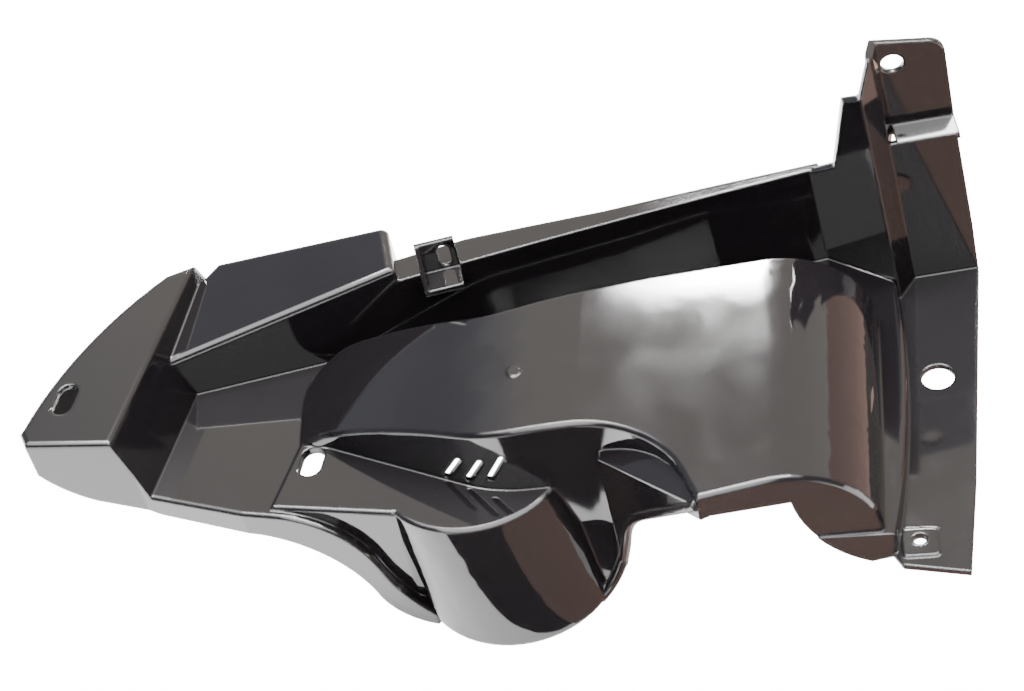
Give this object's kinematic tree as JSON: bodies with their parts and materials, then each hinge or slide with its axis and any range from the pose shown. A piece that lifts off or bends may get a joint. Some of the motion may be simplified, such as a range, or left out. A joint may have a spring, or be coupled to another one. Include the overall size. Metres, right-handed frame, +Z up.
{
  "type": "front inner fender",
  "caption": "Moulded front inner fender for a scooter: a thin black shell with a raised wheel arch, a nose pad, an upper rim and a stepped end flange with fixing holes.",
  "frame": {"origin": "centre of the large hole in the level end flange, on the flange's upper face", "axes": "+X from the nose towards the end flange, +Y away from the front edge towards the upper wall, +Z up, out of the level flange"},
  "size_m": [0.4145, 0.225, 0.174],
  "materials": {
    "black_plastic": "high gloss, as moulded"
  },
  "bodies": {
    "root": {"front_inner_fender": "black_plastic"}
  },
  "joints": []
}
